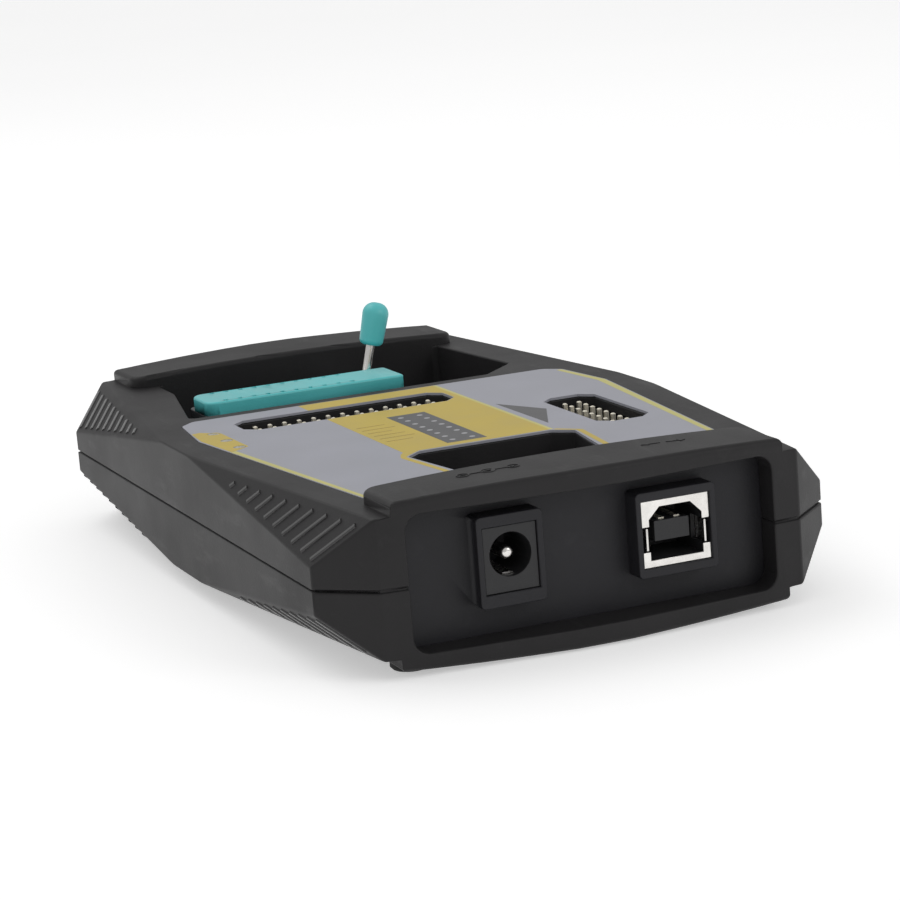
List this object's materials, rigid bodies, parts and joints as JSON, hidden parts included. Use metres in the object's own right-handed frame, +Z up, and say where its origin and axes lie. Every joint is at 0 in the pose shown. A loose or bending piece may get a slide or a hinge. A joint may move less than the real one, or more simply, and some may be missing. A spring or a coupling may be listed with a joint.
{
  "type": "microcontroller programmer",
  "caption": "Faceted black bench programmer for chips, with raised end bars, a lever socket, pin headers, power and data sockets at one end and a cable port at the other.",
  "frame": {"origin": "centre of the object's bounding box, on the surface that its feet stand on", "axes": "+X across the case to the right, seen from the socket end; +Y from the socket end to the cable end; +Z up"},
  "size_m": [0.0812, 0.1404, 0.0362],
  "materials": {
    "case_plastic": "fine satin texture",
    "panel_plastic": "smooth satin",
    "plate_print": "grey print with ochre fields, matte",
    "foot_rubber": "soft matte",
    "screw_steel": "zinc plated",
    "bright_metal": "nickel plated",
    "board_laminate": "solder mask",
    "header_plastic": "moulded",
    "gold_plating": "gold flash",
    "teal_plastic": "satin moulded",
    "socket_plastic": "moulded",
    "chip_epoxy": "moulded epoxy",
    "tin": "tinned",
    "can_aluminium": "drawn can",
    "ferrite": "pressed ferrite",
    "ceramic": "fired ceramic",
    "light_plastic": "clear"
  },
  "bodies": {
    "case": {"upper_shell": "case_plastic", "lower_shell": "case_plastic", "near_panel": "panel_plastic", "far_panel": "panel_plastic", "top_plate": "plate_print", "rubber_feet": "foot_rubber", "case_screws": "screw_steel", "main_board": "board_laminate", "board_screws": "screw_steel", "wide_header_bases": "header_plastic", "wide_header_pins": "gold_plating", "short_header_bases": "header_plastic", "short_header_pins": "gold_plating", "lever_socket_risers": "header_plastic", "lever_socket_base": "socket_plastic", "lever_socket_contacts": "gold_plating", "lever_socket_cover": "teal_plastic", "data_socket_shell": "bright_metal", "data_socket_insert": "header_plastic", "data_socket_strips": "gold_plating", "power_socket_body": "header_plastic", "power_socket_pin": "bright_metal", "power_socket_spring": "bright_metal", "cable_port_shell": "bright_metal", "cable_port_insert": "header_plastic", "cable_port_sleeves": "gold_plating", "cable_port_posts": "bright_metal", "processor": "chip_epoxy", "processor_leads": "tin", "logic_chips": "chip_epoxy", "logic_leads": "tin", "can_capacitors": "can_aluminium", "can_capacitor_bases": "header_plastic", "crystal": "bright_metal", "power_coil": "ferrite", "regulator": "chip_epoxy", "chip_capacitors": "ceramic", "chip_capacitor_caps": "tin", "status_lights": "light_plastic", "light_rods": "light_plastic"},
    "lever": {"lever_rod": "bright_metal", "lever_knob": "teal_plastic"},
    "slider": {"lever_socket_slider": "socket_plastic"}
  },
  "joints": [
    {"name": "lever_turn", "type": "hinge", "parent": "case", "child": "lever", "pos_m": [0.0049, 0.03655, 0.0198], "axis": [0, 1, 0], "range_deg": [-14.5, 75.5]},
    {"name": "slider_travel", "type": "slide", "parent": "case", "child": "slider", "axis": [1, 0, 0], "range_m": [-0.00015, 0.00072]}
  ],
  "couplings": [
    {"joint": "slider_travel", "follows": "lever_turn", "m_per_rad": 0.00054}
  ]
}
